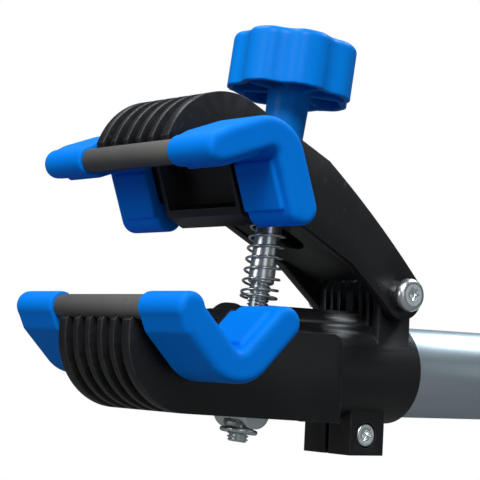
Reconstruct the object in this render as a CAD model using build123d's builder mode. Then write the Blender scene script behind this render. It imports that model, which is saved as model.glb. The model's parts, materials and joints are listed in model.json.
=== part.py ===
from build123d import *
from math import atan2, cos, hypot, radians, sin, sqrt
import os

# Clamp head of a bicycle repair stand on its horizontal arm tube.
# Millimetres. +X runs along the arm tube towards the stand, the jaws point to -X, +Z is up.
# The origin is on the tube axis at the rear face of the clamp collar.
# Names ending in _S are distances along the leaning stud, from the trunnion axis upwards.

os.makedirs("parts", exist_ok=True)

# ---------------------------------------------------------------- arm tube and collar
TUBE_R = 17.5
TUBE_WALL = 2.0
TUBE_EXPOSED = 140.0
TUBE_INSERT = 38.0
TUBE_SPIGOT_R = 17.25
TUBE_FIT = 0.05
PLUG_DEPTH = 14.0
PLUG_WALL = 2.0
PLUG_CAP = 3.0
COLLAR_R = 20.0
COLLAR_LENGTH = 42.0
COLLAR_EDGE = 1.2

# ---------------------------------------------------------------- jaw bodies
BODY_HALF = 22.2
PLATE_INNER = 17.8
PANEL_TOP = 13.0
PANEL_CORNER_R = 5.0
NOSE_R = 25.3
NOSE_CENTRE = (-111.0, 8.0)
BOTTOM_REAR_Z = -19.4
V_RECESS = 1.2
V_CORE_THICK = 5.0
RIB_PITCH = 7.6
RIB_GAP = 5.0
RIB_GAPS = 5
RIB_GAP_FLOOR_R = 13.2
V_WALL = 4.0
CROWN_TOP = 22.5
CROWN_R = 14.0
CROWN_FRONT = -80.0
CROWN_REAR = -4.0

# ---------------------------------------------------------------- V pads and bars
PAD_INNER = 27.1
PAD_OUTER = 52.4
PAD_THICK = 11.6
PAD_DEPTH = 9.8
PAD_FRONT_TIP_R = 5.4
PAD_REAR_TIP_R = 5.8
PAD_BACK_R = 15.0
PAD_VALLEY_R = 3.0
PAD_EDGE = 2.6
PAD_INNER_EDGE = 0.8
PAD_SHOULDER = 3.3
PAD_SHOULDER_DEG = 12.0
GRIP_HEIGHT = 1.3
GRIP_INSET = 4.8
GRIP_START = 3.0
GRIP_TIP_GAP = 1.0
BAR_R = 4.3
BAR_CORE_R = 2.5
BAR_CORE_HALF = 47.0
CORE_REACH = 20.5
LOWER_APEX = (-111.7, 3.8)
LOWER_FRONT_TIP = (-132.0, 18.0)
LOWER_REAR_TIP = (-92.5, 14.8)

# Points of the upper jaw are measured from the jaw pivot, in a frame tilted by JAW_OPEN_DEG at rest.
PIVOT = (-13.0, 29.15)
JAW_OPEN_DEG = 24.8
UPPER_APEX = (-98.25, 3.36)
UPPER_FRONT_TIP = (-117.9, -8.29)
UPPER_REAR_TIP = (-78.05, -8.64)
UPPER_NOSE_R = 26.3
UPPER_NOSE_CENTRE = (-95.3, -0.6)
UPPER_TOP = 25.7
UPPER_TOP_END = -55.3
UPPER_BACK_MID = (-20.0, 16.4)
UPPER_BACK_END_DEG = 52.0
UPPER_BELLY = ((-28.0, -1.9), (-64.8, -0.9))
UPPER_BELLY_END_DEG = 236.0
UPPER_LIP = 3.1
BOSS_R = 9.3
SKIN = 3.0
WEB_LOW = -0.6
WEB_FRONT = -74.0
WEB_REAR = -12.8
FORK_DEPTH = 14.0
FORK_ROOF = 11.2
BAY_REAR = -44.8
BAY_ROOF = 20.4
SADDLE_FLOOR = 13.3
WEB_SLOT = (-67.0, -37.3, 15.0)
SADDLE_SLOT = (-67.3, -50.3, 10.8)

CORE_OUTER = 47.0
GAP_REACH = 22.0
GAP_TURN_DEG = 72.0
BODY_TIP_R = 4.6
V_LEG_REACH = 17.2
V_POCKET = 8.5
V_POCKET_HALF = 20.2
V_POCKET_START = 1.5
V_LIP = 2.2
BODY_STEP_R = 2.5
BODY_STEP_X = -86.5

# ---------------------------------------------------------------- hinge
LUGS = ((0.0, 3.8), (6.2, 1.6), (10.5, 1.4), (15.5, 3.5))
LUG_FRONT = -20.7
LUG_FRONT_TOP = 30.5
LUG_BEVEL_DEG = 127.0
LUG_FOOT = 4.0
LUG_R = 8.0
BUSH_R = 4.7
BUSH_HALF = 24.2
PIVOT_BOLT_R = 3.0
PIVOT_HEAD_R = 6.3
PIVOT_HEAD_H = 3.5
PIVOT_DOME_R = 2.4
PIVOT_SOCKET_AF = 4.0
PIVOT_SOCKET_DEPTH = 2.2
PIVOT_NUT_AF = 10.0
PIVOT_NUT_H = 5.0
PIVOT_TIP = 1.5
RUN = 0.06

# ---------------------------------------------------------------- pinch ears
EAR_FRONT = -28.9
EAR_REAR = -12.3
EAR_HALF = 13.3
EAR_LOW = -31.6
EAR_ROOT = -8.0
EAR_R = 2.0
SLIT = 2.0
PINCH = (-21.0, -24.0)
PINCH_SOCKET_AF = 4.0
PINCH_SOCKET_DEPTH = 2.6
PINCH_HEAD_EDGE = 0.5
PINCH_ROOM = 0.5
PINCH_R = 2.5
PINCH_HEAD_R = 4.25
PINCH_HEAD_H = 5.0
PINCH_NUT_AF = 8.0
PINCH_NUT_H = 4.0
PINCH_TIP = 3.0

# ---------------------------------------------------------------- stud, saddle and knob
TRUNNION = (-70.4, -16.6)
TRUNNION_R = 6.2
TRUNNION_HALF = 9.3
TRUNNION_EDGE = 0.5
TRUNNION_ROOM = 0.4
NUT_SEAT_S = -3.4
NUT_SEAT_R = 6.0
SADDLE = (-61.5, 25.4)
SADDLE_R = 8.0
SADDLE_HALF = 9.0
SADDLE_GAP = 0.5
SADDLE_ROOM = 0.4
SADDLE_RISE = 3.3
SADDLE_RISE_HALF = 7.0
WASHER_R = 8.0
WASHER_H = 1.5
STUD_R = 4.0
STUD_LOW_S = -11.2
STUD_TOP_S = 76.3
STUD_EDGE = 0.7
STUD_NUT_AF = 10.0
STUD_NUT_H = 2.9
RETAINER_R = 6.95
RETAINER_H = 1.8
RETAINER_EDGE = 0.5
SLEEVE_R = 4.85
SLEEVE_LOW_S = 47.3
SLEEVE_BORE = 54.0
SLEEVE_EDGE = 0.4
SPRING_R = 6.6
SPRING_WIRE_R = 0.5
SPRING_LOW_S = 41.3
SPRING_HIGH_S = 81.0
SPRING_TURNS = 10
KNOB_R = 23.5
KNOB_LOBES = 7
KNOB_START_DEG = 16.5
KNOB_VALLEY_R = 9.0
KNOB_VALLEY_DEPTH = 2.2
KNOB_LOBE_BLEND = 7.0
KNOB_TOP_EDGE = 2.8
KNOB_LOW_S = 118.6
KNOB_HIGH_S = 139.7
KNOB_BORE_END_S = 132.3
KNOB_WALL = 2.4
KNOB_ROOF = 3.4
KNOB_HUB_R = 8.2
KNOB_NECK_R = 7.5
KNOB_RIB = 1.8
KNOB_RIB_UP = 1.0
STUD_SLOT_HALF = 5.3
STUD_SLOT_TOP = (-77.2, -59.8)
STUD_SLOT_LOW = (-75.6, -65.2)
ROD_EDGE = 0.4

EPS = 0.1
FAR = 60.0


# ---------------------------------------------------------------- planes
def lower_plane(y):
    """Side view of the lower jaw at the given Y, seen from -Y."""
    return Plane(origin=(0, y, 0), x_dir=(1, 0, 0), z_dir=(0, -1, 0))


def upper_plane(y):
    """Side view of the upper jaw in its own tilted frame, with the pivot at 0, 0."""
    tilt = radians(JAW_OPEN_DEG)
    return Plane(origin=(PIVOT[0], y, PIVOT[1]), x_dir=(cos(tilt), 0, -sin(tilt)), z_dir=(0, -1, 0))


def upper_point(point):
    """Place a point of the tilted upper frame in the X, Z plane."""
    tilt = radians(JAW_OPEN_DEG)
    x, z = point
    return (PIVOT[0] + x * cos(tilt) + z * sin(tilt), PIVOT[1] - x * sin(tilt) + z * cos(tilt))


SADDLE_AT = upper_point(SADDLE)
SADDLE_S = hypot(SADDLE_AT[0] - TRUNNION[0], SADDLE_AT[1] - TRUNNION[1])
STUD_LEAN = atan2(SADDLE_AT[0] - TRUNNION[0], SADDLE_AT[1] - TRUNNION[1])
STUD_DIR = (sin(STUD_LEAN), 0, cos(STUD_LEAN))


def stud_plane(s):
    """Cross-section of the stud at distance s above the trunnion axis."""
    origin = (TRUNNION[0] + s * STUD_DIR[0], 0, TRUNNION[1] + s * STUD_DIR[2])
    return Plane(origin=origin, x_dir=(cos(STUD_LEAN), 0, -sin(STUD_LEAN)), z_dir=STUD_DIR)


def stud_side(y):
    """Side view along the stud: local y runs up the stud from the trunnion axis."""
    return Plane(origin=(TRUNNION[0], y, TRUNNION[1]), x_dir=(cos(STUD_LEAN), 0, -sin(STUD_LEAN)), z_dir=(0, -1, 0))


def upper_level(x, z):
    """Level plane of the tilted upper jaw at the given point."""
    tilt = radians(JAW_OPEN_DEG)
    at_x, at_z = upper_point((x, z))
    return Plane(origin=(at_x, 0, at_z), x_dir=(cos(tilt), 0, -sin(tilt)), z_dir=(sin(tilt), 0, cos(tilt)))


def write(builder, label):
    builder.part.label = label
    export_step(builder.part, f"parts/{label}.step")


# ---------------------------------------------------------------- V outlines
def leg_length(apex, tip, side, up):
    """Distance from the apex, along each axis, to the point of the inner line beside a tip."""
    return (side * (tip[0] - apex[0]) + up * (tip[1] - apex[1])) / 2


def pad_outline(apex, front_tip, rear_tip, up):
    """V of the soft pad: two legs at 45 degrees, round tips and a rounded blunt back."""
    step = PAD_THICK / sqrt(2)
    back = PAD_THICK * sqrt(2) - PAD_DEPTH
    ax, az = apex
    front = leg_length(apex, front_tip, -1, up)
    rear = leg_length(apex, rear_tip, 1, up)
    shoulder = front - PAD_SHOULDER
    cheek = radians(PAD_SHOULDER_DEG)
    with BuildSketch(mode=Mode.PRIVATE) as legs:
        Polygon(
            (ax, az),
            (ax - front, az + up * front),
            (front_tip[0] - PAD_FRONT_TIP_R * cos(cheek), front_tip[1] - up * PAD_FRONT_TIP_R * sin(cheek)),
            (ax - shoulder - step, az + up * (shoulder - step)),
            (ax - back, az - up * PAD_DEPTH),
            (ax + back, az - up * PAD_DEPTH),
            (ax + rear + step, az + up * (rear - step)),
            (ax + rear, az + up * rear),
            align=None,
        )
        corners = legs.vertices()
        fillet(corners.sort_by_distance((ax, az - up * PAD_DEPTH, 0))[:2], radius=PAD_BACK_R)
        fillet(legs.vertices().sort_by_distance((ax, az, 0))[0], radius=PAD_VALLEY_R)
    add(legs.sketch)
    with Locations(front_tip):
        Circle(PAD_FRONT_TIP_R)
    with Locations(rear_tip):
        Circle(PAD_REAR_TIP_R)


def core_outline(apex, up):
    """V of the hard arm inside a pad."""
    inset = (PAD_THICK - V_CORE_THICK) / 2
    drop = inset * sqrt(2)
    reach = CORE_REACH / sqrt(2)
    step = V_CORE_THICK / sqrt(2)
    ax, az = apex[0], apex[1] - up * drop
    blunt = PAD_DEPTH - drop - inset / 2
    back = V_CORE_THICK * sqrt(2) - blunt
    Polygon(
        (ax, az),
        (ax - reach, az + up * reach),
        (ax - reach - step, az + up * (reach - step)),
        (ax - back, az - up * blunt),
        (ax + back, az - up * blunt),
        (ax + reach + step, az + up * (reach - step)),
        (ax + reach, az + up * reach),
        align=None,
    )


def grip_blocks(apex, front_tip, rear_tip, up):
    """Raised blocks on the two inner faces of the V."""
    for tip, side in ((front_tip, -1), (rear_tip, 1)):
        end = leg_length(apex, tip, side, up) - GRIP_TIP_GAP
        rise = GRIP_HEIGHT / sqrt(2)
        start = GRIP_START
        corners = [(start, start), (end, end), (end - rise, end + rise), (start - rise, start + rise)]
        Polygon(*[(apex[0] + side * a, apex[1] + up * b) for a, b in corners], align=None)


# ---------------------------------------------------------------- arm tube
with BuildPart() as arm_tube:
    with BuildSketch(Plane.YZ):
        Circle(TUBE_R)
    extrude(amount=TUBE_EXPOSED)
    with BuildSketch(Plane.YZ):
        Circle(TUBE_SPIGOT_R)
    extrude(amount=-TUBE_INSERT)
    with BuildSketch(Plane.YZ.offset(-TUBE_INSERT)):
        Circle(TUBE_R - TUBE_WALL)
    extrude(amount=TUBE_INSERT + TUBE_EXPOSED, mode=Mode.SUBTRACT)
write(arm_tube, "arm_tube")

with BuildPart() as tube_end_plug:
    with BuildSketch(Plane.YZ.offset(TUBE_EXPOSED - PLUG_DEPTH)):
        Circle(TUBE_R - TUBE_WALL)
        Circle(TUBE_R - TUBE_WALL - PLUG_WALL, mode=Mode.SUBTRACT)
    extrude(amount=PLUG_DEPTH)
    with BuildSketch(Plane.YZ.offset(TUBE_EXPOSED)):
        Circle(TUBE_R)
    extrude(amount=PLUG_CAP)
    fillet(tube_end_plug.faces().sort_by(Axis.X)[-1].edges(), radius=PLUG_CAP / 2)
write(tube_end_plug, "tube_end_plug")


# ---------------------------------------------------------------- lower jaw frame
def add_cores(plane_at, apex, up):
    """Hard V arms that carry the pads on both sides of a jaw body."""
    for side in (-1, 1):
        outer = CORE_OUTER if side > 0 else -BODY_HALF
        with BuildSketch(plane_at(outer)) as core:
            core_outline(apex, up)
        extrude(core.sketch, amount=CORE_OUTER - BODY_HALF)


def cut_bar_seat(plane_at, tip):
    with BuildSketch(plane_at(BODY_HALF)) as seat:
        with Locations(tip):
            Circle(BAR_R)
    extrude(seat.sketch, amount=2 * BODY_HALF, mode=Mode.SUBTRACT)


def cut_rib_gaps(plane_at, centre, apex, up):
    """Slots between the nose ribs: their floor follows the nose and then the V face."""
    cx, cz = centre
    face = (V_RECESS + V_WALL) * sqrt(2)
    start = (apex[0] - GAP_REACH, apex[1] + up * (GAP_REACH - face))
    knee = (cx - RIB_GAP_FLOOR_R, cz)
    turn = radians(GAP_TURN_DEG)
    end = (cx - RIB_GAP_FLOOR_R * cos(turn), cz - up * RIB_GAP_FLOOR_R * sin(turn))
    middle = (cx - RIB_GAP_FLOOR_R * cos(turn / 2), cz - up * RIB_GAP_FLOOR_R * sin(turn / 2))
    below = cz - up * FAR
    for index in range(RIB_GAPS):
        y = (index - (RIB_GAPS - 1) / 2) * RIB_PITCH + RIB_GAP / 2
        with BuildSketch(plane_at(y)) as gap:
            with BuildLine():
                Polyline(start, knee)
                ThreePointArc(knee, middle, end)
                Polyline(end, (end[0] + 1, below), (cx - FAR, below), (cx - FAR, start[1]), start)
            make_face()
        extrude(gap.sketch, amount=RIB_GAP, mode=Mode.SUBTRACT)


NOSE_FRONT = NOSE_CENTRE[0] - NOSE_R
BODY_TOP = LOWER_REAR_TIP[1] + BODY_TIP_R
BODY_V = (LOWER_APEX[0], LOWER_APEX[1] - V_RECESS * sqrt(2))


def cut_v_pocket(plane_at, v_apex, rear_tip, up):
    """Shallow recess in the rear face of the V, between the side plates and above the lip."""
    ax, az = v_apex
    span = (rear_tip[0] - ax + up * (rear_tip[1] - az)) / 2
    step = V_POCKET / sqrt(2)
    low = V_POCKET_START
    high = span - V_LIP
    corners = [(low, low), (high, high), (high + step, high - step), (low + step, low - step)]
    with BuildSketch(plane_at(V_POCKET_HALF)) as pocket:
        Polygon(*[(ax + a, az + up * b) for a, b in corners], align=None)
    extrude(pocket.sketch, amount=2 * V_POCKET_HALF, mode=Mode.SUBTRACT)


with BuildPart() as lower_jaw_frame:
    # nose, side panels and rear tip of the V
    with BuildSketch(Plane.XZ) as lower_side:
        with BuildLine():
            low = NOSE_CENTRE[1] - NOSE_R
            Polyline(
                (-COLLAR_LENGTH, PANEL_TOP),
                (BODY_STEP_X, PANEL_TOP),
                (BODY_STEP_X, BODY_TOP),
                (BODY_V[0] + BODY_TOP - BODY_V[1], BODY_TOP),
                BODY_V,
                (BODY_V[0] - V_LEG_REACH, BODY_V[1] + V_LEG_REACH),
                LOWER_FRONT_TIP,
                (NOSE_FRONT, LOWER_FRONT_TIP[1] - BODY_TIP_R),
                (NOSE_FRONT, NOSE_CENTRE[1]),
            )
            RadiusArc((NOSE_FRONT, NOSE_CENTRE[1]), (NOSE_CENTRE[0], low), -NOSE_R)
            Polyline((NOSE_CENTRE[0], low), (-COLLAR_LENGTH, BOTTOM_REAR_Z), (-COLLAR_LENGTH, PANEL_TOP))
        make_face()
        fillet(lower_side.vertices().sort_by_distance((-COLLAR_LENGTH, 0, PANEL_TOP))[0], radius=PANEL_CORNER_R)
        fillet(lower_side.vertices().sort_by_distance((BODY_STEP_X, 0, BODY_TOP))[:2], radius=BODY_STEP_R)
    extrude(amount=BODY_HALF, both=True)
    # collar, and the round back that runs forward from it above the side panels
    with BuildSketch(Plane.YZ):
        Circle(COLLAR_R)
    extrude(amount=-COLLAR_LENGTH)
    with BuildSketch(Plane.YZ.offset(-COLLAR_LENGTH)):
        Circle(COLLAR_R)
        with Locations((0, -COLLAR_R)):
            Rectangle(2 * COLLAR_R, 2 * COLLAR_R, mode=Mode.SUBTRACT)
    extrude(amount=BODY_STEP_X + COLLAR_LENGTH)
    chamfer(lower_jaw_frame.faces().sort_by(Axis.X)[-1].edges(), length=COLLAR_EDGE / 2)
    # raised crown on top of the collar and the back, where the hinge lugs rise
    with BuildSketch(Plane.YZ.offset(CROWN_REAR)) as crown:
        with Locations((0, CROWN_TOP - CROWN_R)):
            Circle(CROWN_R)
        with Locations((0, -TUBE_R)):
            Rectangle(2 * COLLAR_R, 2 * TUBE_R + 2 * TUBE_WALL, mode=Mode.SUBTRACT)
    extrude(crown.sketch, amount=CROWN_FRONT - CROWN_REAR)
    # comb of hinge lugs: a broad one in the middle and at each side, thin ribs between
    bevel = radians(LUG_BEVEL_DEG)
    for centre, thick in LUGS:
        for side in (1,) if centre == 0 else (1, -1):
            with BuildSketch(lower_plane(side * centre + thick / 2)):
                Polygon(
                    (LUG_FRONT, LUG_FOOT),
                    (LUG_FRONT, LUG_FRONT_TOP),
                    (PIVOT[0] + LUG_R * cos(bevel), PIVOT[1] + LUG_R * sin(bevel)),
                    PIVOT,
                    (PIVOT[0] + LUG_R, PIVOT[1]),
                    (PIVOT[0] + LUG_R, LUG_FOOT),
                    align=None,
                )
                with Locations(PIVOT):
                    Circle(LUG_R)
            extrude(amount=thick)
    # pinch ears under the collar
    with BuildSketch(lower_plane(EAR_HALF)) as ears:
        with Locations(((EAR_FRONT + EAR_REAR) / 2, (EAR_LOW + EAR_ROOT) / 2)):
            Rectangle(EAR_REAR - EAR_FRONT, EAR_ROOT - EAR_LOW)
        fillet(ears.vertices().group_by(Axis.Z)[0].sort_by(Axis.X)[-1], radius=EAR_R)
    extrude(amount=2 * EAR_HALF)
    # bore for the tube, slit and pinch screw
    with BuildSketch(Plane.YZ):
        Circle(TUBE_SPIGOT_R + TUBE_FIT)
    extrude(amount=-TUBE_INSERT - EPS, mode=Mode.SUBTRACT)
    with BuildSketch(Plane.XY.offset(EAR_LOW - EPS)):
        with Locations((-TUBE_INSERT / 2, 0)):
            Rectangle(TUBE_INSERT, SLIT)
    extrude(amount=-EAR_LOW - TUBE_SPIGOT_R / 2, mode=Mode.SUBTRACT)
    with BuildSketch(lower_plane(EAR_HALF)):
        with Locations(PINCH):
            Circle(PINCH_R + EPS)
    extrude(amount=2 * EAR_HALF, mode=Mode.SUBTRACT)
    with BuildSketch(lower_plane(-EAR_HALF + PINCH_HEAD_H)):
        with Locations(PINCH):
            Circle(PINCH_HEAD_R + PINCH_ROOM)
    extrude(amount=PINCH_HEAD_H, mode=Mode.SUBTRACT)
    with BuildSketch(lower_plane(EAR_HALF)):
        with Locations(PINCH):
            RegularPolygon(PINCH_NUT_AF / 2, 6, major_radius=False)
    extrude(amount=PINCH_NUT_H, mode=Mode.SUBTRACT)
    # hinge bore
    with BuildSketch(lower_plane(BODY_HALF)):
        with Locations(PIVOT):
            Circle(BUSH_R)
    extrude(amount=2 * BODY_HALF, mode=Mode.SUBTRACT)
    # slot for the swinging stud and the half-round seat of its trunnion
    with BuildSketch(lower_plane(STUD_SLOT_HALF)):
        Polygon(
            (STUD_SLOT_TOP[0], CROWN_TOP + 1),
            (STUD_SLOT_TOP[1], CROWN_TOP + 1),
            (STUD_SLOT_LOW[1], TRUNNION[1]),
            (STUD_SLOT_LOW[0], TRUNNION[1]),
            align=None,
        )
    extrude(amount=2 * STUD_SLOT_HALF, mode=Mode.SUBTRACT)
    with BuildSketch(lower_plane(TRUNNION_HALF + TRUNNION_ROOM)):
        with Locations(TRUNNION):
            Circle(TRUNNION_R + EPS)
        with Locations((TRUNNION[0], TRUNNION[1] - TRUNNION_R)):
            Rectangle(2 * (TRUNNION_R + EPS), 2 * TRUNNION_R)
    extrude(amount=2 * (TRUNNION_HALF + TRUNNION_ROOM), mode=Mode.SUBTRACT)
    # ribs, bar seat, recess in the V and arms for the pads
    cut_rib_gaps(lower_plane, NOSE_CENTRE, LOWER_APEX, 1)
    cut_bar_seat(lower_plane, LOWER_FRONT_TIP)
    cut_v_pocket(lower_plane, BODY_V, LOWER_REAR_TIP, 1)
    add_cores(lower_plane, LOWER_APEX, 1)
write(lower_jaw_frame, "lower_jaw_frame")


# ---------------------------------------------------------------- upper jaw frame
UPPER_V = (UPPER_APEX[0], UPPER_APEX[1] + V_RECESS * sqrt(2))
BACK_END = (BOSS_R * cos(radians(UPPER_BACK_END_DEG)), BOSS_R * sin(radians(UPPER_BACK_END_DEG)))
LIP_LOW = UPPER_REAR_TIP[1] - UPPER_LIP
BOSS_END = (BOSS_R * cos(radians(UPPER_BELLY_END_DEG)), BOSS_R * sin(radians(UPPER_BELLY_END_DEG)))

with BuildPart() as upper_jaw_frame:
    with BuildSketch(upper_plane(BODY_HALF)) as upper_side:
        with BuildLine():
            nose_x = UPPER_NOSE_CENTRE[0] - UPPER_NOSE_R
            turn = radians(UPPER_BACK_END_DEG)
            Polyline((nose_x, UPPER_FRONT_TIP[1] + BODY_TIP_R), (nose_x, UPPER_NOSE_CENTRE[1]))
            RadiusArc((nose_x, UPPER_NOSE_CENTRE[1]), (UPPER_NOSE_CENTRE[0], UPPER_TOP), UPPER_NOSE_R)
            Line((UPPER_NOSE_CENTRE[0], UPPER_TOP), (UPPER_TOP_END, UPPER_TOP))
            ThreePointArc((UPPER_TOP_END, UPPER_TOP), UPPER_BACK_MID, BACK_END)
            ThreePointArc(BACK_END, (BOSS_R * cos(turn), -BOSS_R * sin(turn)), BOSS_END)
            Polyline(
                BOSS_END,
                *UPPER_BELLY,
                (WEB_FRONT, UPPER_BELLY[-1][1]),
                (WEB_FRONT, LIP_LOW),
                (UPPER_V[0] - LIP_LOW + UPPER_V[1], LIP_LOW),
                UPPER_V,
                (UPPER_V[0] - V_LEG_REACH, UPPER_V[1] - V_LEG_REACH),
                UPPER_FRONT_TIP,
                (nose_x, UPPER_FRONT_TIP[1] + BODY_TIP_R),
            )
        make_face()
    extrude(amount=2 * BODY_HALF)
    # hollow between the side plates: spring bay, back cavity and open fork at the hinge
    web_top = WEB_LOW + SKIN
    with BuildSketch(upper_plane(PLATE_INNER)):
        Polygon(
            (BAY_REAR, web_top),
            (BAY_REAR, BAY_ROOF),
            (UPPER_BACK_MID[0], UPPER_BACK_MID[1] - SKIN),
            (-FORK_DEPTH, FORK_ROOF),
            (-FORK_DEPTH, UPPER_TOP),
            (2 * BOSS_R, UPPER_TOP),
            (2 * BOSS_R, -UPPER_TOP),
            (WEB_REAR, -UPPER_TOP),
            (WEB_REAR, web_top),
            align=None,
        )
        Polygon(
            (WEB_FRONT + SKIN, web_top),
            (WEB_FRONT + SKIN, SADDLE_FLOOR),
            (BAY_REAR, SADDLE_FLOOR),
            (BAY_REAR, web_top),
            align=None,
        )
        Polygon(
            (WEB_FRONT, -UPPER_TOP),
            (WEB_FRONT, WEB_LOW),
            (WEB_REAR, WEB_LOW),
            (WEB_REAR, -UPPER_TOP),
            align=None,
        )
    extrude(amount=2 * PLATE_INNER, mode=Mode.SUBTRACT)
    # slots for the leaning stud, and the round groove of the saddle
    for front, rear, width, height, depth in (
        (*WEB_SLOT, WEB_LOW, SKIN),
        (*SADDLE_SLOT, SADDLE_FLOOR, UPPER_TOP - SADDLE_FLOOR),
    ):
        with BuildSketch(upper_level((front + rear) / 2, height)):
            SlotOverall(rear - front, width)
        extrude(amount=depth, mode=Mode.SUBTRACT)
    with BuildSketch(upper_plane(SADDLE_HALF + SADDLE_ROOM)):
        with Locations(SADDLE):
            Circle(SADDLE_R + SADDLE_GAP)
    extrude(amount=2 * (SADDLE_HALF + SADDLE_ROOM), mode=Mode.SUBTRACT)
    with BuildSketch(upper_plane(BODY_HALF)):
        Circle(BUSH_R + RUN)
    extrude(amount=2 * BODY_HALF, mode=Mode.SUBTRACT)
    cut_rib_gaps(upper_plane, UPPER_NOSE_CENTRE, UPPER_APEX, -1)
    cut_bar_seat(upper_plane, UPPER_FRONT_TIP)
    cut_v_pocket(upper_plane, UPPER_V, UPPER_REAR_TIP, -1)
    add_cores(upper_plane, UPPER_APEX, -1)
write(upper_jaw_frame, "upper_jaw_frame")


# ---------------------------------------------------------------- pads and cross bars of both jaws
def make_pad(plane_at, apex, front_tip, rear_tip, up, side):
    """Soft V pad that slips over a hard arm and the end of the bar."""
    depth = PAD_OUTER - PAD_INNER
    near, far = (PAD_OUTER, CORE_OUTER) if side > 0 else (-PAD_INNER, -BODY_HALF)
    grip_y = PAD_OUTER - GRIP_INSET if side > 0 else -PAD_INNER
    with BuildPart() as pad:
        with BuildSketch(plane_at(near)) as outline:
            pad_outline(apex, front_tip, rear_tip, up)
        extrude(outline.sketch, amount=depth)
        rims = pad.faces().sort_by(Axis.Y)
        outer_rim, inner_rim = (rims[-1], rims[0]) if side > 0 else (rims[0], rims[-1])
        fillet(outer_rim.edges(), radius=PAD_EDGE)
        fillet(inner_rim.edges(), radius=PAD_INNER_EDGE)
        with BuildSketch(plane_at(grip_y)) as grips:
            grip_blocks(apex, front_tip, rear_tip, up)
        extrude(grips.sketch, amount=depth - GRIP_INSET)
        with BuildSketch(plane_at(far)) as core:
            core_outline(apex, up)
            with Locations(front_tip):
                Circle(BAR_CORE_R)
        extrude(core.sketch, amount=CORE_OUTER - BODY_HALF, mode=Mode.SUBTRACT)
    return pad


def make_bar(plane_at, tip):
    """Steel rod between the pads and the rubber sleeve on its middle."""
    with BuildPart() as rod:
        with BuildSketch(plane_at(BAR_CORE_HALF)) as section:
            with Locations(tip):
                Circle(BAR_CORE_R)
        extrude(section.sketch, amount=2 * BAR_CORE_HALF)
        chamfer(rod.faces().filter_by(GeomType.PLANE).edges(), length=ROD_EDGE)
    with BuildPart() as sleeve:
        with BuildSketch(plane_at(PAD_INNER)) as ring:
            with Locations(tip):
                Circle(BAR_R)
                Circle(BAR_CORE_R, mode=Mode.SUBTRACT)
        extrude(ring.sketch, amount=2 * PAD_INNER)
    return rod, sleeve


for jaw, plane_at, apex, front_tip, rear_tip, up in (
    ("lower", lower_plane, LOWER_APEX, LOWER_FRONT_TIP, LOWER_REAR_TIP, 1),
    ("upper", upper_plane, UPPER_APEX, UPPER_FRONT_TIP, UPPER_REAR_TIP, -1),
):
    for hand, side in (("left", 1), ("right", -1)):
        write(make_pad(plane_at, apex, front_tip, rear_tip, up, side), f"{jaw}_pad_{hand}")
    rod, sleeve = make_bar(plane_at, front_tip)
    write(rod, f"{jaw}_bar_rod")
    write(sleeve, f"{jaw}_bar_sleeve")


# ---------------------------------------------------------------- hinge pin
with BuildPart() as pivot_bush:
    with BuildSketch(lower_plane(BUSH_HALF)):
        with Locations(PIVOT):
            Circle(BUSH_R)
            Circle(PIVOT_BOLT_R, mode=Mode.SUBTRACT)
    extrude(amount=2 * BUSH_HALF)
write(pivot_bush, "pivot_bush")

with BuildPart() as pivot_bolt:
    with BuildSketch(lower_plane(-BUSH_HALF)):
        with Locations(PIVOT):
            Circle(PIVOT_HEAD_R)
    extrude(amount=PIVOT_HEAD_H)
    fillet(pivot_bolt.faces().sort_by(Axis.Y)[0].edges(), radius=PIVOT_DOME_R)
    with BuildSketch(lower_plane(BUSH_HALF + PIVOT_NUT_H + PIVOT_TIP)):
        with Locations(PIVOT):
            Circle(PIVOT_BOLT_R)
    extrude(amount=2 * BUSH_HALF + PIVOT_NUT_H + PIVOT_TIP)
    with BuildSketch(lower_plane(-BUSH_HALF - PIVOT_HEAD_H + PIVOT_SOCKET_DEPTH)):
        with Locations(PIVOT):
            RegularPolygon(PIVOT_SOCKET_AF / 2, 6, major_radius=False)
    extrude(amount=PIVOT_SOCKET_DEPTH, mode=Mode.SUBTRACT)
write(pivot_bolt, "pivot_bolt")

with BuildPart() as pivot_nut:
    with BuildSketch(lower_plane(BUSH_HALF + PIVOT_NUT_H)):
        with Locations(PIVOT):
            RegularPolygon(PIVOT_NUT_AF / 2, 6, major_radius=False)
            Circle(PIVOT_BOLT_R, mode=Mode.SUBTRACT)
    extrude(amount=PIVOT_NUT_H)
write(pivot_nut, "pivot_nut")


# ---------------------------------------------------------------- pinch screw and nut
with BuildPart() as pinch_screw:
    with BuildSketch(lower_plane(-EAR_HALF + PINCH_HEAD_H)):
        with Locations(PINCH):
            Circle(PINCH_HEAD_R)
    extrude(amount=PINCH_HEAD_H)
    fillet(pinch_screw.faces().sort_by(Axis.Y)[0].edges(), radius=PINCH_HEAD_EDGE)
    with BuildSketch(lower_plane(EAR_HALF + PINCH_TIP)):
        with Locations(PINCH):
            Circle(PINCH_R)
    extrude(amount=2 * EAR_HALF - PINCH_HEAD_H + PINCH_TIP)
    with BuildSketch(lower_plane(-EAR_HALF + PINCH_SOCKET_DEPTH)):
        with Locations(PINCH):
            RegularPolygon(PINCH_SOCKET_AF / 2, 6, major_radius=False)
    extrude(amount=PINCH_SOCKET_DEPTH, mode=Mode.SUBTRACT)
write(pinch_screw, "pinch_screw")

with BuildPart() as pinch_nut:
    with BuildSketch(lower_plane(EAR_HALF)):
        with Locations(PINCH):
            RegularPolygon(PINCH_NUT_AF / 2, 6, major_radius=False)
            Circle(PINCH_R, mode=Mode.SUBTRACT)
    extrude(amount=PINCH_NUT_H)
write(pinch_nut, "pinch_nut")


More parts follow.
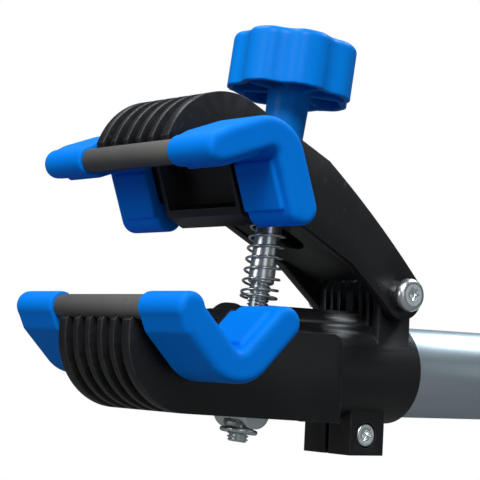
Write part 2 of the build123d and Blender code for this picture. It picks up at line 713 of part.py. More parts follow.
# ---------------------------------------------------------------- stud, trunnion, nut and spring
with BuildPart() as clamp_stud:
    with BuildSketch(stud_plane(STUD_LOW_S)):
        Circle(STUD_R - RUN)
    extrude(amount=STUD_TOP_S - STUD_LOW_S)
    chamfer(clamp_stud.faces().filter_by(GeomType.PLANE).edges(), length=STUD_EDGE)
write(clamp_stud, "clamp_stud")

with BuildPart() as trunnion_barrel:
    with BuildSketch(lower_plane(TRUNNION_HALF)):
        with Locations(TRUNNION):
            Circle(TRUNNION_R)
    extrude(amount=2 * TRUNNION_HALF)
    chamfer(trunnion_barrel.faces().filter_by(Plane.XZ).edges(), length=TRUNNION_EDGE)
    with BuildSketch(stud_plane(NUT_SEAT_S)):
        Circle(NUT_SEAT_R)
    extrude(amount=-TRUNNION_R, mode=Mode.SUBTRACT)
    with BuildSketch(stud_plane(-TRUNNION_R)):
        Circle(STUD_R)
    extrude(amount=2 * TRUNNION_R, mode=Mode.SUBTRACT)
write(trunnion_barrel, "trunnion_barrel")

with BuildPart() as stud_nut:
    with BuildSketch(stud_plane(NUT_SEAT_S)):
        RegularPolygon(STUD_NUT_AF / 2, 6, major_radius=False)
        Circle(STUD_R, mode=Mode.SUBTRACT)
    extrude(amount=-STUD_NUT_H)
write(stud_nut, "stud_nut")

with BuildPart() as stud_retainer:
    with BuildSketch(stud_plane(NUT_SEAT_S - STUD_NUT_H)):
        Circle(RETAINER_R)
    extrude(amount=-RETAINER_H)
    chamfer(stud_retainer.faces().filter_by(GeomType.PLANE).edges(), length=RETAINER_EDGE)
    with BuildSketch(stud_plane(NUT_SEAT_S - STUD_NUT_H)):
        Circle(STUD_R)
    extrude(amount=-RETAINER_H, mode=Mode.SUBTRACT)
write(stud_retainer, "stud_retainer")

with BuildPart() as clamp_spring:
    pitch = (SPRING_HIGH_S - SPRING_LOW_S) / SPRING_TURNS
    start = stud_plane(SPRING_LOW_S).origin
    with BuildLine() as coil:
        Helix(pitch, SPRING_HIGH_S - SPRING_LOW_S, SPRING_R - SPRING_WIRE_R, center=start, direction=STUD_DIR)
    with BuildSketch(Plane(origin=coil.line @ 0, z_dir=coil.line % 0)):
        Circle(SPRING_WIRE_R)
    sweep(path=coil.line, is_frenet=True)
write(clamp_spring, "clamp_spring")


# ---------------------------------------------------------------- saddle and thrust washer
with BuildPart() as saddle_block:
    with BuildSketch(stud_side(SADDLE_HALF)):
        with Locations((0, SADDLE_S)):
            Circle(SADDLE_R)
            with Locations((0, SADDLE_R)):
                Rectangle(2 * SADDLE_R, 2 * SADDLE_R, mode=Mode.SUBTRACT)
            with Locations((0, SADDLE_RISE / 2)):
                Rectangle(2 * SADDLE_RISE_HALF, SADDLE_RISE)
    extrude(amount=2 * SADDLE_HALF)
    with BuildSketch(stud_plane(SADDLE_S - SADDLE_R)):
        Circle(SLEEVE_R + RUN)
    extrude(amount=2 * SADDLE_R, mode=Mode.SUBTRACT)
write(saddle_block, "saddle_block")

WASHER_S = SADDLE_S + SADDLE_RISE
with BuildPart() as thrust_washer:
    with BuildSketch(stud_plane(WASHER_S)):
        Circle(WASHER_R)
        Circle(SLEEVE_R + RUN, mode=Mode.SUBTRACT)
    extrude(amount=WASHER_H)
write(thrust_washer, "thrust_washer")


# ---------------------------------------------------------------- knob and its threaded sleeve
NECK_LOW = WASHER_S + WASHER_H + EPS


def knob_outline(inset):
    """Lobed round of the hand knob, shrunk by the inset."""
    Circle(KNOB_R - inset)
    with PolarLocations(KNOB_R + KNOB_VALLEY_R - KNOB_VALLEY_DEPTH, KNOB_LOBES, start_angle=KNOB_START_DEG):
        Circle(KNOB_VALLEY_R + inset, mode=Mode.SUBTRACT)


with BuildPart() as knob:
    with BuildSketch(stud_plane(KNOB_LOW_S)) as lobes:
        knob_outline(0)
        fillet(lobes.vertices(), radius=KNOB_LOBE_BLEND)
    extrude(amount=KNOB_HIGH_S - KNOB_LOW_S)
    fillet(knob.faces().sort_by(Axis.Z)[-1].edges(), radius=KNOB_TOP_EDGE)
    with BuildSketch(stud_plane(KNOB_LOW_S)) as hollow:
        knob_outline(KNOB_WALL)
        Circle(KNOB_HUB_R, mode=Mode.SUBTRACT)
    extrude(amount=KNOB_HIGH_S - KNOB_LOW_S - KNOB_ROOF, mode=Mode.SUBTRACT)
    with BuildSketch(stud_plane(KNOB_LOW_S + KNOB_RIB_UP)):
        with PolarLocations((KNOB_R + KNOB_HUB_R) / 2 - KNOB_WALL, KNOB_LOBES, start_angle=KNOB_START_DEG):
            Rectangle(KNOB_R - KNOB_HUB_R - KNOB_VALLEY_DEPTH, KNOB_RIB)
    extrude(amount=KNOB_HIGH_S - KNOB_LOW_S - KNOB_RIB_UP - KNOB_ROOF / 2)
    with BuildSketch(stud_plane(NECK_LOW)):
        Circle(KNOB_NECK_R)
    with BuildSketch(stud_plane(KNOB_LOW_S + KNOB_ROOF)):
        Circle(KNOB_HUB_R)
    loft()
    with BuildSketch(stud_plane(NECK_LOW)):
        Circle(SLEEVE_R)
    extrude(amount=KNOB_BORE_END_S - NECK_LOW, mode=Mode.SUBTRACT)
write(knob, "knob")

with BuildPart() as knob_sleeve:
    with BuildSketch(stud_plane(SLEEVE_LOW_S)):
        Circle(SLEEVE_R)
    extrude(amount=KNOB_BORE_END_S - SLEEVE_LOW_S)
    chamfer(knob_sleeve.faces().sort_by(Axis.Z)[0].edges(), length=SLEEVE_EDGE)
    with BuildSketch(stud_plane(SLEEVE_LOW_S)):
        Circle(STUD_R)
    extrude(amount=SLEEVE_BORE, mode=Mode.SUBTRACT)
write(knob_sleeve, "knob_sleeve")
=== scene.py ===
import json
import math
import bmesh
import bpy
from mathutils import Matrix, Vector


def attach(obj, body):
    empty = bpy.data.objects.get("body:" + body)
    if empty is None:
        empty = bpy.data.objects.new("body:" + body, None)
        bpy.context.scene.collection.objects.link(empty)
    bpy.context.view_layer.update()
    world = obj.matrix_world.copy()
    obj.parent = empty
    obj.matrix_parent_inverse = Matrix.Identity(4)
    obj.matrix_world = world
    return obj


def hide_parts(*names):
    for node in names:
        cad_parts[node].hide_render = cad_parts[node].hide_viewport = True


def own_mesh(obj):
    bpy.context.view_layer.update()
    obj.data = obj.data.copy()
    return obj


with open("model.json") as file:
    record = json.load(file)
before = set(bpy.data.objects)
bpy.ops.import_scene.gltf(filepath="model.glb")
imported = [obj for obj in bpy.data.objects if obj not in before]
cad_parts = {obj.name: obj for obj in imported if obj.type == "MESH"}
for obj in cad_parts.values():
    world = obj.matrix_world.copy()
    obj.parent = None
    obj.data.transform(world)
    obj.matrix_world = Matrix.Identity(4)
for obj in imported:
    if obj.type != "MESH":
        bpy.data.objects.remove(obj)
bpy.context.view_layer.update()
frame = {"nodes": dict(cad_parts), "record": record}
nodes = frame["nodes"]
behaviour = frame["record"]["behaviour"]
joints = {joint["name"]: joint for joint in behaviour["joints"]}
bodyOf = {node: body for body, members in behaviour["bodies"].items() for node in members}
slotOf = {part["node"]: part["material_slot"] for part in frame["record"]["subparts"]}
mm = 0.001
print("frame loaded:", len(nodes), "CAD nodes")


# Camera.
viewSettings = {
    "target": (-74.9, 0.0, 45.54),      # mm, the point in the middle of the picture
    "yaw": 37.49,                       # degrees round +Z, from the side view
    "pitch": 3.9,                       # degrees, looking slightly up
    "roll": 2.8,
    "distance": 638.35,
    "lens": 131.12,                     # mm
    "sensor": 36.0,                     # mm
    "nearest": 0.01,                    # metres, where the view begins and ends
    "farthest": 50.0,
}


def makeCamera(s):
    yaw, pitch, roll = (math.radians(s[k]) for k in ("yaw", "pitch", "roll"))
    ahead = Vector((math.sin(yaw) * math.cos(pitch), math.cos(yaw) * math.cos(pitch), math.sin(pitch)))
    level = Vector((math.cos(yaw), -math.sin(yaw), 0.0))
    above = level.cross(ahead)
    right = level * math.cos(roll) + above * math.sin(roll)
    top = above * math.cos(roll) - level * math.sin(roll)
    data = bpy.data.cameras.new("productCamera")
    data.lens = s["lens"]
    data.sensor_width = s["sensor"]
    data.clip_start = s["nearest"]
    data.clip_end = s["farthest"]
    cam = bpy.data.objects.new("productCamera", data)
    bpy.context.scene.collection.objects.link(cam)
    place = Vector(s["target"]) * mm - ahead * s["distance"] * mm
    turn = Matrix((right, top, -ahead)).transposed().to_4x4()
    cam.matrix_world = Matrix.Translation(place) @ turn
    bpy.context.scene.camera = cam


def makeLight(name, place, aim, size, power, colour):
    data = bpy.data.lights.new(name, "AREA")
    data.shape = "RECTANGLE"
    data.size, data.size_y = size
    data.energy = power
    data.color = colour
    lamp = bpy.data.objects.new(name, data)
    bpy.context.scene.collection.objects.link(lamp)
    lamp.location = Vector(place)
    lamp.rotation_mode = "QUATERNION"
    lamp.rotation_quaternion = (Vector(aim) - Vector(place)).to_track_quat("-Z", "Y")


# Light name: place, point it faces, size and power in metres and watts, colour.
studioLights = {
    "keyLight": ((-0.85, -0.85, 1.2), (-0.08, 0.0, 0.04), (0.7, 0.7), 28.0, (1.0, 0.99, 0.97)),
    "leftSoftbox": ((-1.3, 0.1, 0.5), (-0.08, 0.0, 0.04), (0.4, 0.9), 5.0, (1.0, 1.0, 1.0)),
    "frontFill": ((-0.6, -1.4, 0.1), (-0.08, 0.0, 0.03), (0.6, 0.5), 1.0, (1.0, 1.0, 1.0)),
    "rightCard": ((1.0, -1.35, 0.12), (-0.02, 0.0, 0.01), (0.7, 0.5), 0.6, (0.9, 0.97, 1.0)),
    "rightSoftbox": ((0.72, -0.12, 0.98), (-0.03, 0.0, 0.01), (0.5, 0.36), 8.0, (0.86, 0.95, 1.0)),
    "topBack": ((-0.2, 0.6, 1.2), (-0.05, 0.0, 0.03), (0.8, 0.4), 7.0, (1.0, 1.0, 1.0)),
}
studioSurround = {
    "fill": 0.085,                      # strength of the light from all round
    "fillColour": (0.88, 0.95, 1.0, 1.0),
    "floorBounce": 0.12,                # how pale the floor is to the object
    "floorRoughness": 0.9,
    "floorDrop": 190.0,                 # mm below the arm tube's axis
    "floorReach": 6.0,                  # metres each way
}


def makeStudio():
    world = bpy.data.worlds.new("studio")
    bpy.context.scene.world = world
    world.use_nodes = True
    tree = world.node_tree
    tree.nodes.clear()
    out = tree.nodes.new("ShaderNodeOutputWorld")
    mix = tree.nodes.new("ShaderNodeMixShader")
    ray = tree.nodes.new("ShaderNodeLightPath")
    seen = tree.nodes.new("ShaderNodeBackground")
    lit = tree.nodes.new("ShaderNodeBackground")
    seen.inputs["Color"].default_value = (1, 1, 1, 1)
    seen.inputs["Strength"].default_value = 1.0
    lit.inputs["Color"].default_value = studioSurround["fillColour"]
    lit.inputs["Strength"].default_value = studioSurround["fill"]
    tree.links.new(ray.outputs["Is Camera Ray"], mix.inputs[0])
    tree.links.new(lit.outputs[0], mix.inputs[1])
    tree.links.new(seen.outputs[0], mix.inputs[2])
    tree.links.new(mix.outputs[0], out.inputs["Surface"])
    for name, (place, aim, size, power, colour) in studioLights.items():
        makeLight(name, place, aim, size, power, colour)
    reach = studioSurround["floorReach"]
    mesh = bpy.data.meshes.new("studioFloor")
    z = -studioSurround["floorDrop"] * mm
    corners = [(-reach, -reach, z), (reach, -reach, z), (reach, reach, z), (-reach, reach, z)]
    mesh.from_pydata(corners, [], [(0, 1, 2, 3)])
    floor = bpy.data.objects.new("studioFloor", mesh)
    bpy.context.scene.collection.objects.link(floor)
    mat = bpy.data.materials.new("paleFloor")
    mat.use_nodes = True
    tree = mat.node_tree
    shader = tree.nodes["Principled BSDF"]
    bounce = studioSurround["floorBounce"]
    shader.inputs["Base Color"].default_value = (bounce, bounce, bounce, 1)
    shader.inputs["Roughness"].default_value = studioSurround["floorRoughness"]
    ray = tree.nodes.new("ShaderNodeLightPath")
    glow = tree.nodes.new("ShaderNodeEmission")
    mix = tree.nodes.new("ShaderNodeMixShader")
    tree.links.new(ray.outputs["Is Camera Ray"], mix.inputs[0])
    tree.links.new(shader.outputs[0], mix.inputs[1])
    tree.links.new(glow.outputs[0], mix.inputs[2])
    tree.links.new(mix.outputs[0], tree.nodes["Material Output"].inputs["Surface"])
    mesh.materials.append(mat)
    bpy.context.scene.view_settings.view_transform = "Standard"


makeCamera(viewSettings)
makeStudio()
print("camera and studio ready")


# Shader groups.
def newGroup(name, inputs, outputs):
    tree = bpy.data.node_groups.new(name, "ShaderNodeTree")
    for label, kind, value in inputs:
        socket = tree.interface.new_socket(label, in_out="INPUT", socket_type=kind)
        if value is not None:
            socket.default_value = value
    for label, kind in outputs:
        tree.interface.new_socket(label, in_out="OUTPUT", socket_type=kind)
    return tree, tree.nodes.new("NodeGroupInput"), tree.nodes.new("NodeGroupOutput")


def mathNode(tree, kind, a, b=None, clamp=False):
    node = tree.nodes.new("ShaderNodeMath")
    node.operation = kind
    node.use_clamp = clamp
    for slot, value in ((0, a), (1, b)):
        if value is None:
            continue
        if isinstance(value, (int, float)):
            node.inputs[slot].default_value = value
        else:
            tree.links.new(value, node.inputs[slot])
    return node.outputs[0]


def rampNode(tree, source, low, high):
    node = tree.nodes.new("ShaderNodeMapRange")
    node.inputs["From Min"].default_value = low
    node.inputs["From Max"].default_value = high
    tree.links.new(source, node.inputs["Value"])
    return node.outputs["Result"]


def noiseNode(tree, vector, scale, detail=4.0, rough=0.5):
    node = tree.nodes.new("ShaderNodeTexNoise")
    node.inputs["Detail"].default_value = detail
    node.inputs["Roughness"].default_value = rough
    tree.links.new(vector, node.inputs["Vector"])
    if isinstance(scale, (int, float)):
        node.inputs["Scale"].default_value = scale
    else:
        tree.links.new(scale, node.inputs["Scale"])
    return node.outputs["Fac"]


def stretchNode(tree, vector, stretch):
    node = tree.nodes.new("ShaderNodeMapping")
    node.inputs["Scale"].default_value = stretch
    tree.links.new(vector, node.inputs["Vector"])
    return node.outputs["Vector"]


effectSettings = {
    "bevelSamples": 6,
    "edgeRange": (0.01, 0.16),          # how far a normal turns before the painted edge highlight starts, and is full
    "edgeBreakup": (0.3, 0.62),
    "grainShare": 0.6,                  # fine grain against pits, in the moulded surface
    "pitScale": 0.6,                    # of the grain's own scale, as cloudScale is
    "cloudScale": 0.012,
    "hairRange": (0.66, 0.72),
    "rubRange": (0.45, 0.7),
    "rubScale": 0.25,                   # of the scuffs' own scale
    "cloudRange": (0.35, 0.65),
}


# Mask of convex edges, where a painted highlight is laid over the colour.
def makeEdgeHighlight():
    inputs = [("Radius", "NodeSocketFloat", 0.0006), ("Breakup", "NodeSocketFloat", 400.0)]
    tree, entry, result = newGroup("edgeHighlight", inputs, [("Mask", "NodeSocketFloat")])
    coord = tree.nodes.new("ShaderNodeTexCoord")
    bevel = tree.nodes.new("ShaderNodeBevel")
    bevel.samples = effectSettings["bevelSamples"]
    tree.links.new(entry.outputs["Radius"], bevel.inputs["Radius"])
    geometry = tree.nodes.new("ShaderNodeNewGeometry")
    dot = tree.nodes.new("ShaderNodeVectorMath")
    dot.operation = "DOT_PRODUCT"
    tree.links.new(bevel.outputs["Normal"], dot.inputs[0])
    tree.links.new(geometry.outputs["Normal"], dot.inputs[1])
    turned = mathNode(tree, "SUBTRACT", 1.0, dot.outputs["Value"])
    edge = rampNode(tree, turned, *effectSettings["edgeRange"])
    rough = noiseNode(tree, coord.outputs["Object"], entry.outputs["Breakup"], 5.0, 0.6)
    broken = rampNode(tree, rough, *effectSettings["edgeBreakup"])
    mask = mathNode(tree, "MULTIPLY", edge, broken, clamp=True)
    tree.links.new(mask, result.inputs["Mask"])
    return tree


# Fine eroded mould texture with slow patches.
def makeMouldGrain():
    tree, entry, result = newGroup("mouldGrain", [("Scale", "NodeSocketFloat", 2600.0)],
                               [("Height", "NodeSocketFloat"), ("Patches", "NodeSocketFloat")])
    coord = tree.nodes.new("ShaderNodeTexCoord")
    fine = noiseNode(tree, coord.outputs["Object"], entry.outputs["Scale"], 3.0, 0.65)
    cells = tree.nodes.new("ShaderNodeTexVoronoi")
    tree.links.new(coord.outputs["Object"], cells.inputs["Vector"])
    tree.links.new(mathNode(tree, "MULTIPLY", entry.outputs["Scale"], effectSettings["pitScale"]),
                   cells.inputs["Scale"])
    grains = mathNode(tree, "MULTIPLY", fine, effectSettings["grainShare"])
    pits = mathNode(tree, "MULTIPLY", cells.outputs["Distance"], 1 - effectSettings["grainShare"])
    height = mathNode(tree, "ADD", grains, pits)
    cloudScale = mathNode(tree, "MULTIPLY", entry.outputs["Scale"], effectSettings["cloudScale"])
    patches = noiseNode(tree, coord.outputs["Object"], cloudScale, 3.0, 0.5)
    tree.links.new(height, result.inputs["Height"])
    tree.links.new(patches, result.inputs["Patches"])
    return tree


# Fine drawn or brushed lines along one axis.
def makeStreaks():
    inputs = [("Along", "NodeSocketVector", None), ("Scale", "NodeSocketFloat", 900.0)]
    tree, entry, result = newGroup("drawnLines", inputs, [("Lines", "NodeSocketFloat")])
    coord = tree.nodes.new("ShaderNodeTexCoord")
    scaled = tree.nodes.new("ShaderNodeVectorMath")
    scaled.operation = "MULTIPLY"
    tree.links.new(coord.outputs["Object"], scaled.inputs[0])
    tree.links.new(entry.outputs["Along"], scaled.inputs[1])
    lines = noiseNode(tree, scaled.outputs["Vector"], entry.outputs["Scale"], 4.0, 0.6)
    tree.links.new(lines, result.inputs["Lines"])
    return tree


# Sparse hairline scratches and rubs.
def makeScuffs():
    inputs = [("Scale", "NodeSocketFloat", 160.0), ("Amount", "NodeSocketFloat", 0.5)]
    tree, entry, result = newGroup("scuffs", inputs, [("Mask", "NodeSocketFloat")])
    coord = tree.nodes.new("ShaderNodeTexCoord")
    total = None
    for stretch in ((14.0, 1.0, 5.0), (2.0, 9.0, 1.2)):
        drawnOut = stretchNode(tree, coord.outputs["Object"], stretch)
        lines = noiseNode(tree, drawnOut, entry.outputs["Scale"], 2.0, 0.4)
        hair = rampNode(tree, lines, *effectSettings["hairRange"])
        total = hair if total is None else mathNode(tree, "MAXIMUM", total, hair)
    rubScale = mathNode(tree, "MULTIPLY", entry.outputs["Scale"], effectSettings["rubScale"])
    rub = rampNode(tree, noiseNode(tree, coord.outputs["Object"], rubScale, 3.0), *effectSettings["rubRange"])
    mask = mathNode(tree, "MULTIPLY", mathNode(tree, "MULTIPLY", total, rub), entry.outputs["Amount"], clamp=True)
    tree.links.new(mask, result.inputs["Mask"])
    return tree


edgeHighlight = makeEdgeHighlight()
mouldGrain = makeMouldGrain()
drawnLines = makeStreaks()
scuffs = makeScuffs()


def placeGroup(tree, group, **values):
    node = tree.nodes.new("ShaderNodeGroup")
    node.node_tree = group
    for label, value in values.items():
        node.inputs[label].default_value = value
    return node


def mixColour(tree, factor, a, b):
    node = tree.nodes.new("ShaderNodeMix")
    node.data_type = "RGBA"
    tree.links.new(factor, node.inputs[0])
    for slot, value in ((6, a), (7, b)):
        if isinstance(value, tuple):
            node.inputs[slot].default_value = (*value, 1.0)
        else:
            tree.links.new(value, node.inputs[slot])
    return node.outputs[2]


def newMaterial(name, **fixed):
    mat = bpy.data.materials.new(name)
    mat.use_nodes = True
    tree = mat.node_tree
    shader = tree.nodes["Principled BSDF"]
    for label, value in fixed.items():
        shader.inputs[label.replace("_", " ")].default_value = value
    return mat, tree, shader


def addBump(tree, shader, height, strength, distance):
    bump = tree.nodes.new("ShaderNodeBump")
    bump.inputs["Strength"].default_value = strength
    bump.inputs["Distance"].default_value = distance
    tree.links.new(height, bump.inputs["Height"])
    tree.links.new(bump.outputs["Normal"], shader.inputs["Normal"])


# Materials.
# Two close tones in slow clouds, for a base that isn't one flat colour.
def cloudedTone(tree, grain, s):
    clouds = rampNode(tree, grain.outputs["Patches"], *effectSettings["cloudRange"])
    return mixColour(tree, clouds, s["base"], s["patch"])


# Roughness from a base, a spread that follows a pattern, and the scuffs on top.
def wornRoughness(tree, shader, pattern, rub, rubShare, s):
    spread = mathNode(tree, "MULTIPLY", pattern, s["roughSpread"])
    rubbed = mathNode(tree, "MULTIPLY", rub.outputs["Mask"], rubShare)
    level = mathNode(tree, "ADD", mathNode(tree, "ADD", spread, s["rough"]), rubbed, clamp=True)
    tree.links.new(level, shader.inputs["Roughness"])


# Coloured moulding: clouded base, convex edges painted lighter as a highlight, scuffs and eroded grain.
def mouldedMaterial(s):
    mat, tree, shader = newMaterial(s["name"], Specular_IOR_Level=s["specular"])
    grain = placeGroup(tree, mouldGrain, Scale=s["grainScale"])
    edgeLight = placeGroup(tree, edgeHighlight, Radius=s["highlightRadius"], Breakup=s["highlightBreakup"])
    rub = placeGroup(tree, scuffs, Scale=150.0, Amount=s["scuffs"])
    tone = cloudedTone(tree, grain, s)
    # Convex edges are painted lighter here as a painted highlight; the scuff mix after it is real wear.
    edgeLit = mixColour(tree, mathNode(tree, "MULTIPLY", edgeLight.outputs["Mask"], s["highlightStrength"]), tone, s["highlightAndScuff"])
    tree.links.new(mixColour(tree, rub.outputs["Mask"], edgeLit, s["highlightAndScuff"]), shader.inputs["Base Color"])
    wornRoughness(tree, shader, grain.outputs["Patches"], rub, 0.12, s)
    addBump(tree, shader, grain.outputs["Height"], s["bumpStrength"], s["bumpHeight"])
    return mat


# Bright metal: cloudy plating and fine lines along one axis.
def metalMaterial(s):
    mat, tree, shader = newMaterial(s["name"], Metallic=1.0)
    drawn = placeGroup(tree, drawnLines, Along=s["lineStretch"], Scale=s["lineScale"])
    grain = placeGroup(tree, mouldGrain, Scale=1800.0)
    rub = placeGroup(tree, scuffs, Scale=220.0, Amount=0.6)
    tree.links.new(cloudedTone(tree, grain, s), shader.inputs["Base Color"])
    wornRoughness(tree, shader, drawn.outputs["Lines"], rub, 0.15, s)
    addBump(tree, shader, drawn.outputs["Lines"], s["bumpStrength"], s["bumpHeight"])
    return mat


# Heights and radii are in metres, and scales are per metre.
# Each finish's lightest tone is painted on convex edges as a highlight and also colours the scuffs; the three
# edge settings after the grain shape that painted edge highlight.
mouldedFinishes = {
    "black_plastic": {
        "name": "blackNylon",
        "base": (0.0040, 0.0043, 0.0054), "patch": (0.0060, 0.0064, 0.0078), "highlightAndScuff": (0.075, 0.078, 0.083),
        "rough": 0.36, "roughSpread": 0.14, "specular": 0.5,
        "grainScale": 2400.0, "bumpStrength": 0.18, "bumpHeight": 0.0002,
        "highlightRadius": 0.0007, "highlightBreakup": 260.0, "highlightStrength": 0.8, "scuffs": 0.3,
    },
    "blue_rubber": {
        "name": "blueRubber",
        "base": (0.0, 0.176, 0.73), "patch": (0.0, 0.195, 0.77), "highlightAndScuff": (0.0, 0.27, 0.85),
        "rough": 0.50, "roughSpread": 0.12, "specular": 0.06,
        "grainScale": 1700.0, "bumpStrength": 0.16, "bumpHeight": 0.00018,
        "highlightRadius": 0.0008, "highlightBreakup": 300.0, "highlightStrength": 0.35, "scuffs": 0.2,
    },
    "blue_plastic": {
        "name": "blueKnobPlastic",
        "base": (0.0, 0.185, 0.69), "patch": (0.0, 0.205, 0.74), "highlightAndScuff": (0.0, 0.29, 0.85),
        "rough": 0.34, "roughSpread": 0.10, "specular": 0.1,
        "grainScale": 1500.0, "bumpStrength": 0.10, "bumpHeight": 0.00012,
        "highlightRadius": 0.0007, "highlightBreakup": 300.0, "highlightStrength": 0.4, "scuffs": 0.25,
    },
    "grey_rubber": {
        "name": "greyRubberTube",
        "base": (0.075, 0.075, 0.075), "patch": (0.095, 0.094, 0.093), "highlightAndScuff": (0.18, 0.18, 0.18),
        "rough": 0.58, "roughSpread": 0.14, "specular": 0.25,
        "grainScale": 2000.0, "bumpStrength": 0.3, "bumpHeight": 0.0002,
        "highlightRadius": 0.0005, "highlightBreakup": 300.0, "highlightStrength": 0.5, "scuffs": 0.5,
    },
    "plug_plastic": {
        "name": "blackEndPlug",
        "base": (0.012, 0.012, 0.0135), "patch": (0.017, 0.017, 0.019), "highlightAndScuff": (0.08, 0.08, 0.08),
        "rough": 0.48, "roughSpread": 0.12, "specular": 0.3,
        "grainScale": 2200.0, "bumpStrength": 0.2, "bumpHeight": 0.0002,
        "highlightRadius": 0.0006, "highlightBreakup": 300.0, "highlightStrength": 0.6, "scuffs": 0.3,
    },
}
metalFinishes = {
    "anodised_tube": {
        "name": "satinTube", "base": (0.56, 0.67, 0.75), "patch": (0.62, 0.72, 0.79),
        "rough": 0.34, "roughSpread": 0.14, "lineStretch": (1.0, 40.0, 40.0), "lineScale": 60.0,
        "bumpStrength": 0.06, "bumpHeight": 0.0001,
    },
    "zinc_steel": {
        "name": "brightZinc", "base": (0.80, 0.86, 0.88), "patch": (0.90, 0.94, 0.95),
        "rough": 0.22, "roughSpread": 0.18, "lineStretch": (6.0, 6.0, 6.0), "lineScale": 120.0,
        "bumpStrength": 0.06, "bumpHeight": 0.0001,
    },
    "spring_steel": {
        "name": "springWire", "base": (0.74, 0.80, 0.80), "patch": (0.84, 0.89, 0.88),
        "rough": 0.24, "roughSpread": 0.18, "lineStretch": (10.0, 10.0, 10.0), "lineScale": 160.0,
        "bumpStrength": 0.05, "bumpHeight": 0.0001,
    },
    "bar_steel": {
        "name": "plainRod", "base": (0.36, 0.37, 0.38), "patch": (0.44, 0.44, 0.44),
        "rough": 0.3, "roughSpread": 0.2, "lineStretch": (40.0, 2.0, 40.0), "lineScale": 60.0,
        "bumpStrength": 0.1, "bumpHeight": 0.0001,
    },
}
finishes = {slot: mouldedMaterial(values) for slot, values in mouldedFinishes.items()}
finishes.update((slot, metalMaterial(values)) for slot, values in metalFinishes.items())
print("materials ready:", len(finishes))

def dress(obj, slotName):
    obj.data.materials.clear()
    obj.data.materials.append(finishes[slotName])


# CAD pieces that stay: each edge sharper than edgeTurn gets a round of this many mm.
edgeRounds = {"lower_jaw_frame": 0.55, "upper_jaw_frame": 0.55, "arm_tube": 0.5, "tube_end_plug": 0.4,
              "saddle_block": 0.5, "thrust_washer": 0.3, "stud_retainer": 0.2, "stud_nut": 0.35,
              "pivot_nut": 0.35, "pinch_nut": 0.35, "pivot_bolt": 0.3, "pinch_screw": 0.25,
              "trunnion_barrel": 0.25, "knob_sleeve": 0.25, "lower_bar_sleeve": 0.5, "upper_bar_sleeve": 0.5}
edgeTurn = math.radians(32)
weldGap = 0.001                         # mm, for seams between a mesh's patches


def roundEdges(obj, width):
    weld = obj.modifiers.new("weldSeams", "WELD")
    weld.merge_threshold = weldGap * mm
    bevel = obj.modifiers.new("roundEdges", "BEVEL")
    bevel.width = width * mm
    bevel.segments = 2
    bevel.limit_method = "ANGLE"
    bevel.angle_limit = edgeTurn
    bevel.harden_normals = True


for name, obj in nodes.items():
    dress(obj, slotOf[name])
    for face in obj.data.polygons:
        face.use_smooth = True
    obj.data.set_sharp_from_angle(angle=edgeTurn)
    if name in edgeRounds:
        roundEdges(obj, edgeRounds[name])
print("CAD nodes dressed")


# A finished piece takes the place, the body and the finish of its CAD nodes.
def settle(piece, *replaced):
    dress(piece, slotOf[replaced[0]])
    for face in piece.data.polygons:
        face.use_smooth = True
    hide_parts(*replaced)
    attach(piece, bodyOf[replaced[0]])


def addMesh(name, verts, faces):
    mesh = bpy.data.meshes.new(name)
    mesh.from_pydata(verts, [], faces)
    mesh.update()
    piece = bpy.data.objects.new(name, mesh)
    bpy.context.scene.collection.objects.link(piece)
    return piece


# Moulded pieces: a close-meshed copy of the CAD shape, grid in mm, whose corners are melted
# round by that many smoothing steps.
mouldings = {
    "rightLowerPad": {"node": "lower_pad_right", "grid": 0.5, "melt": 9},
    "leftLowerPad": {"node": "lower_pad_left", "grid": 0.5, "melt": 9},
    "rightUpperPad": {"node": "upper_pad_right", "grid": 0.5, "melt": 9},
    "leftUpperPad": {"node": "upper_pad_left", "grid": 0.5, "melt": 9},
    "lobedKnob": {"node": "knob", "grid": 0.46, "melt": 4},
}


def bakeModifiers(piece):
    bpy.context.view_layer.update()
    graph = bpy.context.evaluated_depsgraph_get()
    mesh = bpy.data.meshes.new_from_object(piece.evaluated_get(graph))
    piece.modifiers.clear()
    piece.data = mesh


def moulded(name, s):
    shape = bmesh.new()
    shape.from_mesh(nodes[s["node"]].data)
    bmesh.ops.remove_doubles(shape, verts=shape.verts, dist=weldGap * mm)
    mesh = bpy.data.meshes.new(name)
    shape.to_mesh(mesh)
    shape.free()
    piece = bpy.data.objects.new(name, mesh)
    bpy.context.scene.collection.objects.link(piece)
    grid = piece.modifiers.new("closeGrid", "REMESH")
    grid.mode = "VOXEL"
    grid.voxel_size = s["grid"] * mm
    melt = piece.modifiers.new("meltCorners", "SMOOTH")
    melt.factor = 0.5
    melt.iterations = s["melt"]
    bakeModifiers(piece)
    settle(piece, s["node"])


for name, settings in mouldings.items():
    moulded(name, settings)
print("moulded pieces made:", len(mouldings))

# The stud's axis, from the trunnion up to the knob, and two directions square to it.
studFoot = Vector(joints["stud_swing"]["pos_m"])
studUp = -Vector(joints["knob_travel"]["axis"]).normalized()
studAcross = Vector((0.0, 1.0, 0.0))
studAhead = studAcross.cross(studUp)


def aroundStud(height, radius, angle):
    spoke = studAcross * math.cos(angle) + studAhead * math.sin(angle)
    return studFoot + studUp * height * mm + spoke * radius * mm


# Faces of a closed tube made of rings of points.
def ringFaces(rows, around):
    faces = []
    for row in range(rows):
        for spoke in range(around):
            a = row * around + spoke
            b = row * around + (spoke + 1) % around
            faces.append((a, b, b + around, a + around))
    faces.append(tuple(range(around))[::-1])
    faces.append(tuple(range(rows * around, (rows + 1) * around)))
    return faces


# M8 stud with its thread cut as a helix, and chamfered ends. Heights are mm along the stud.
studThread = {"low": -11.2, "top": 76.3, "radius": 3.98, "pitch": 1.25, "depth": 0.72,
              "crest": 0.12, "flank": 0.7,                # shares of half a pitch
              "stepsPerTurn": 10, "around": 40, "chamfer": 0.9, "sharpTurn": 50.0}


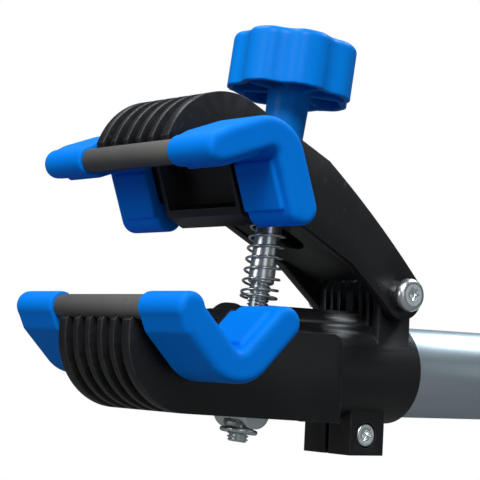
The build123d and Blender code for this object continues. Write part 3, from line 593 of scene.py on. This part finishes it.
def makeStud(s):
    rows = round((s["top"] - s["low"]) / s["pitch"] * s["stepsPerTurn"])
    around = s["around"]
    verts = []
    for row in range(rows + 1):
        height = s["low"] + (s["top"] - s["low"]) * row / rows
        toEnd = min(height - s["low"], s["top"] - height)
        limit = s["radius"] - max(0.0, s["chamfer"] - toEnd)
        for spoke in range(around):
            turn = (height / s["pitch"] - spoke / around) % 1.0
            flank = min(1.0, max(0.0, (abs(2 * turn - 1) - s["crest"]) / s["flank"]))
            radius = min(limit, s["radius"] - s["depth"] * flank)
            verts.append(aroundStud(height, radius, math.tau * spoke / around))
    stud = addMesh("threadedStud", verts, ringFaces(rows, around))
    settle(stud, "clamp_stud")
    stud.data.set_sharp_from_angle(angle=math.radians(s["sharpTurn"]))


makeStud(studThread)
print("stud threaded")

# Opening spring with closed end coils, in mm. keep is its share of length with the jaws shut.
springWire = {"low": 41.3, "top": 81.0, "radius": 6.6, "wire": 0.5, "turns": 11, "endTurns": 1.0,
              "coilGap": 1.04, "stepsPerTurn": 40, "around": 12, "keep": 0.512}


def springHeight(turn, s):
    wire = 2 * s["wire"] * s["coilGap"]
    ends = s["endTurns"]
    free = (s["top"] - s["low"]) - 2 * s["wire"] - 2 * ends * wire
    middle = min(max(turn - ends, 0.0), s["turns"] - 2 * ends) / (s["turns"] - 2 * ends)
    closed = min(turn, ends) + max(0.0, turn - (s["turns"] - ends))
    return s["low"] + s["wire"] + closed * wire + middle * free


def makeSpring(s):
    steps = s["turns"] * s["stepsPerTurn"]
    around = s["around"]
    verts = []
    for step in range(steps + 1):
        turn = step / s["stepsPerTurn"]
        height = springHeight(turn, s)
        for spoke in range(around):
            angle = math.tau * spoke / around
            lift = height + s["wire"] * math.sin(angle)
            reach = s["radius"] + s["wire"] * math.cos(angle)
            verts.append(aroundStud(lift, reach, -math.tau * turn))
    spring = addMesh("openingSpring", verts, ringFaces(steps, around))
    shape = bmesh.new()
    shape.from_mesh(spring.data)
    bmesh.ops.recalc_face_normals(shape, faces=shape.faces)
    shape.to_mesh(spring.data)
    shape.free()
    settle(spring, "clamp_spring")
    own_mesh(spring)


makeSpring(springWire)
print("spring wound")
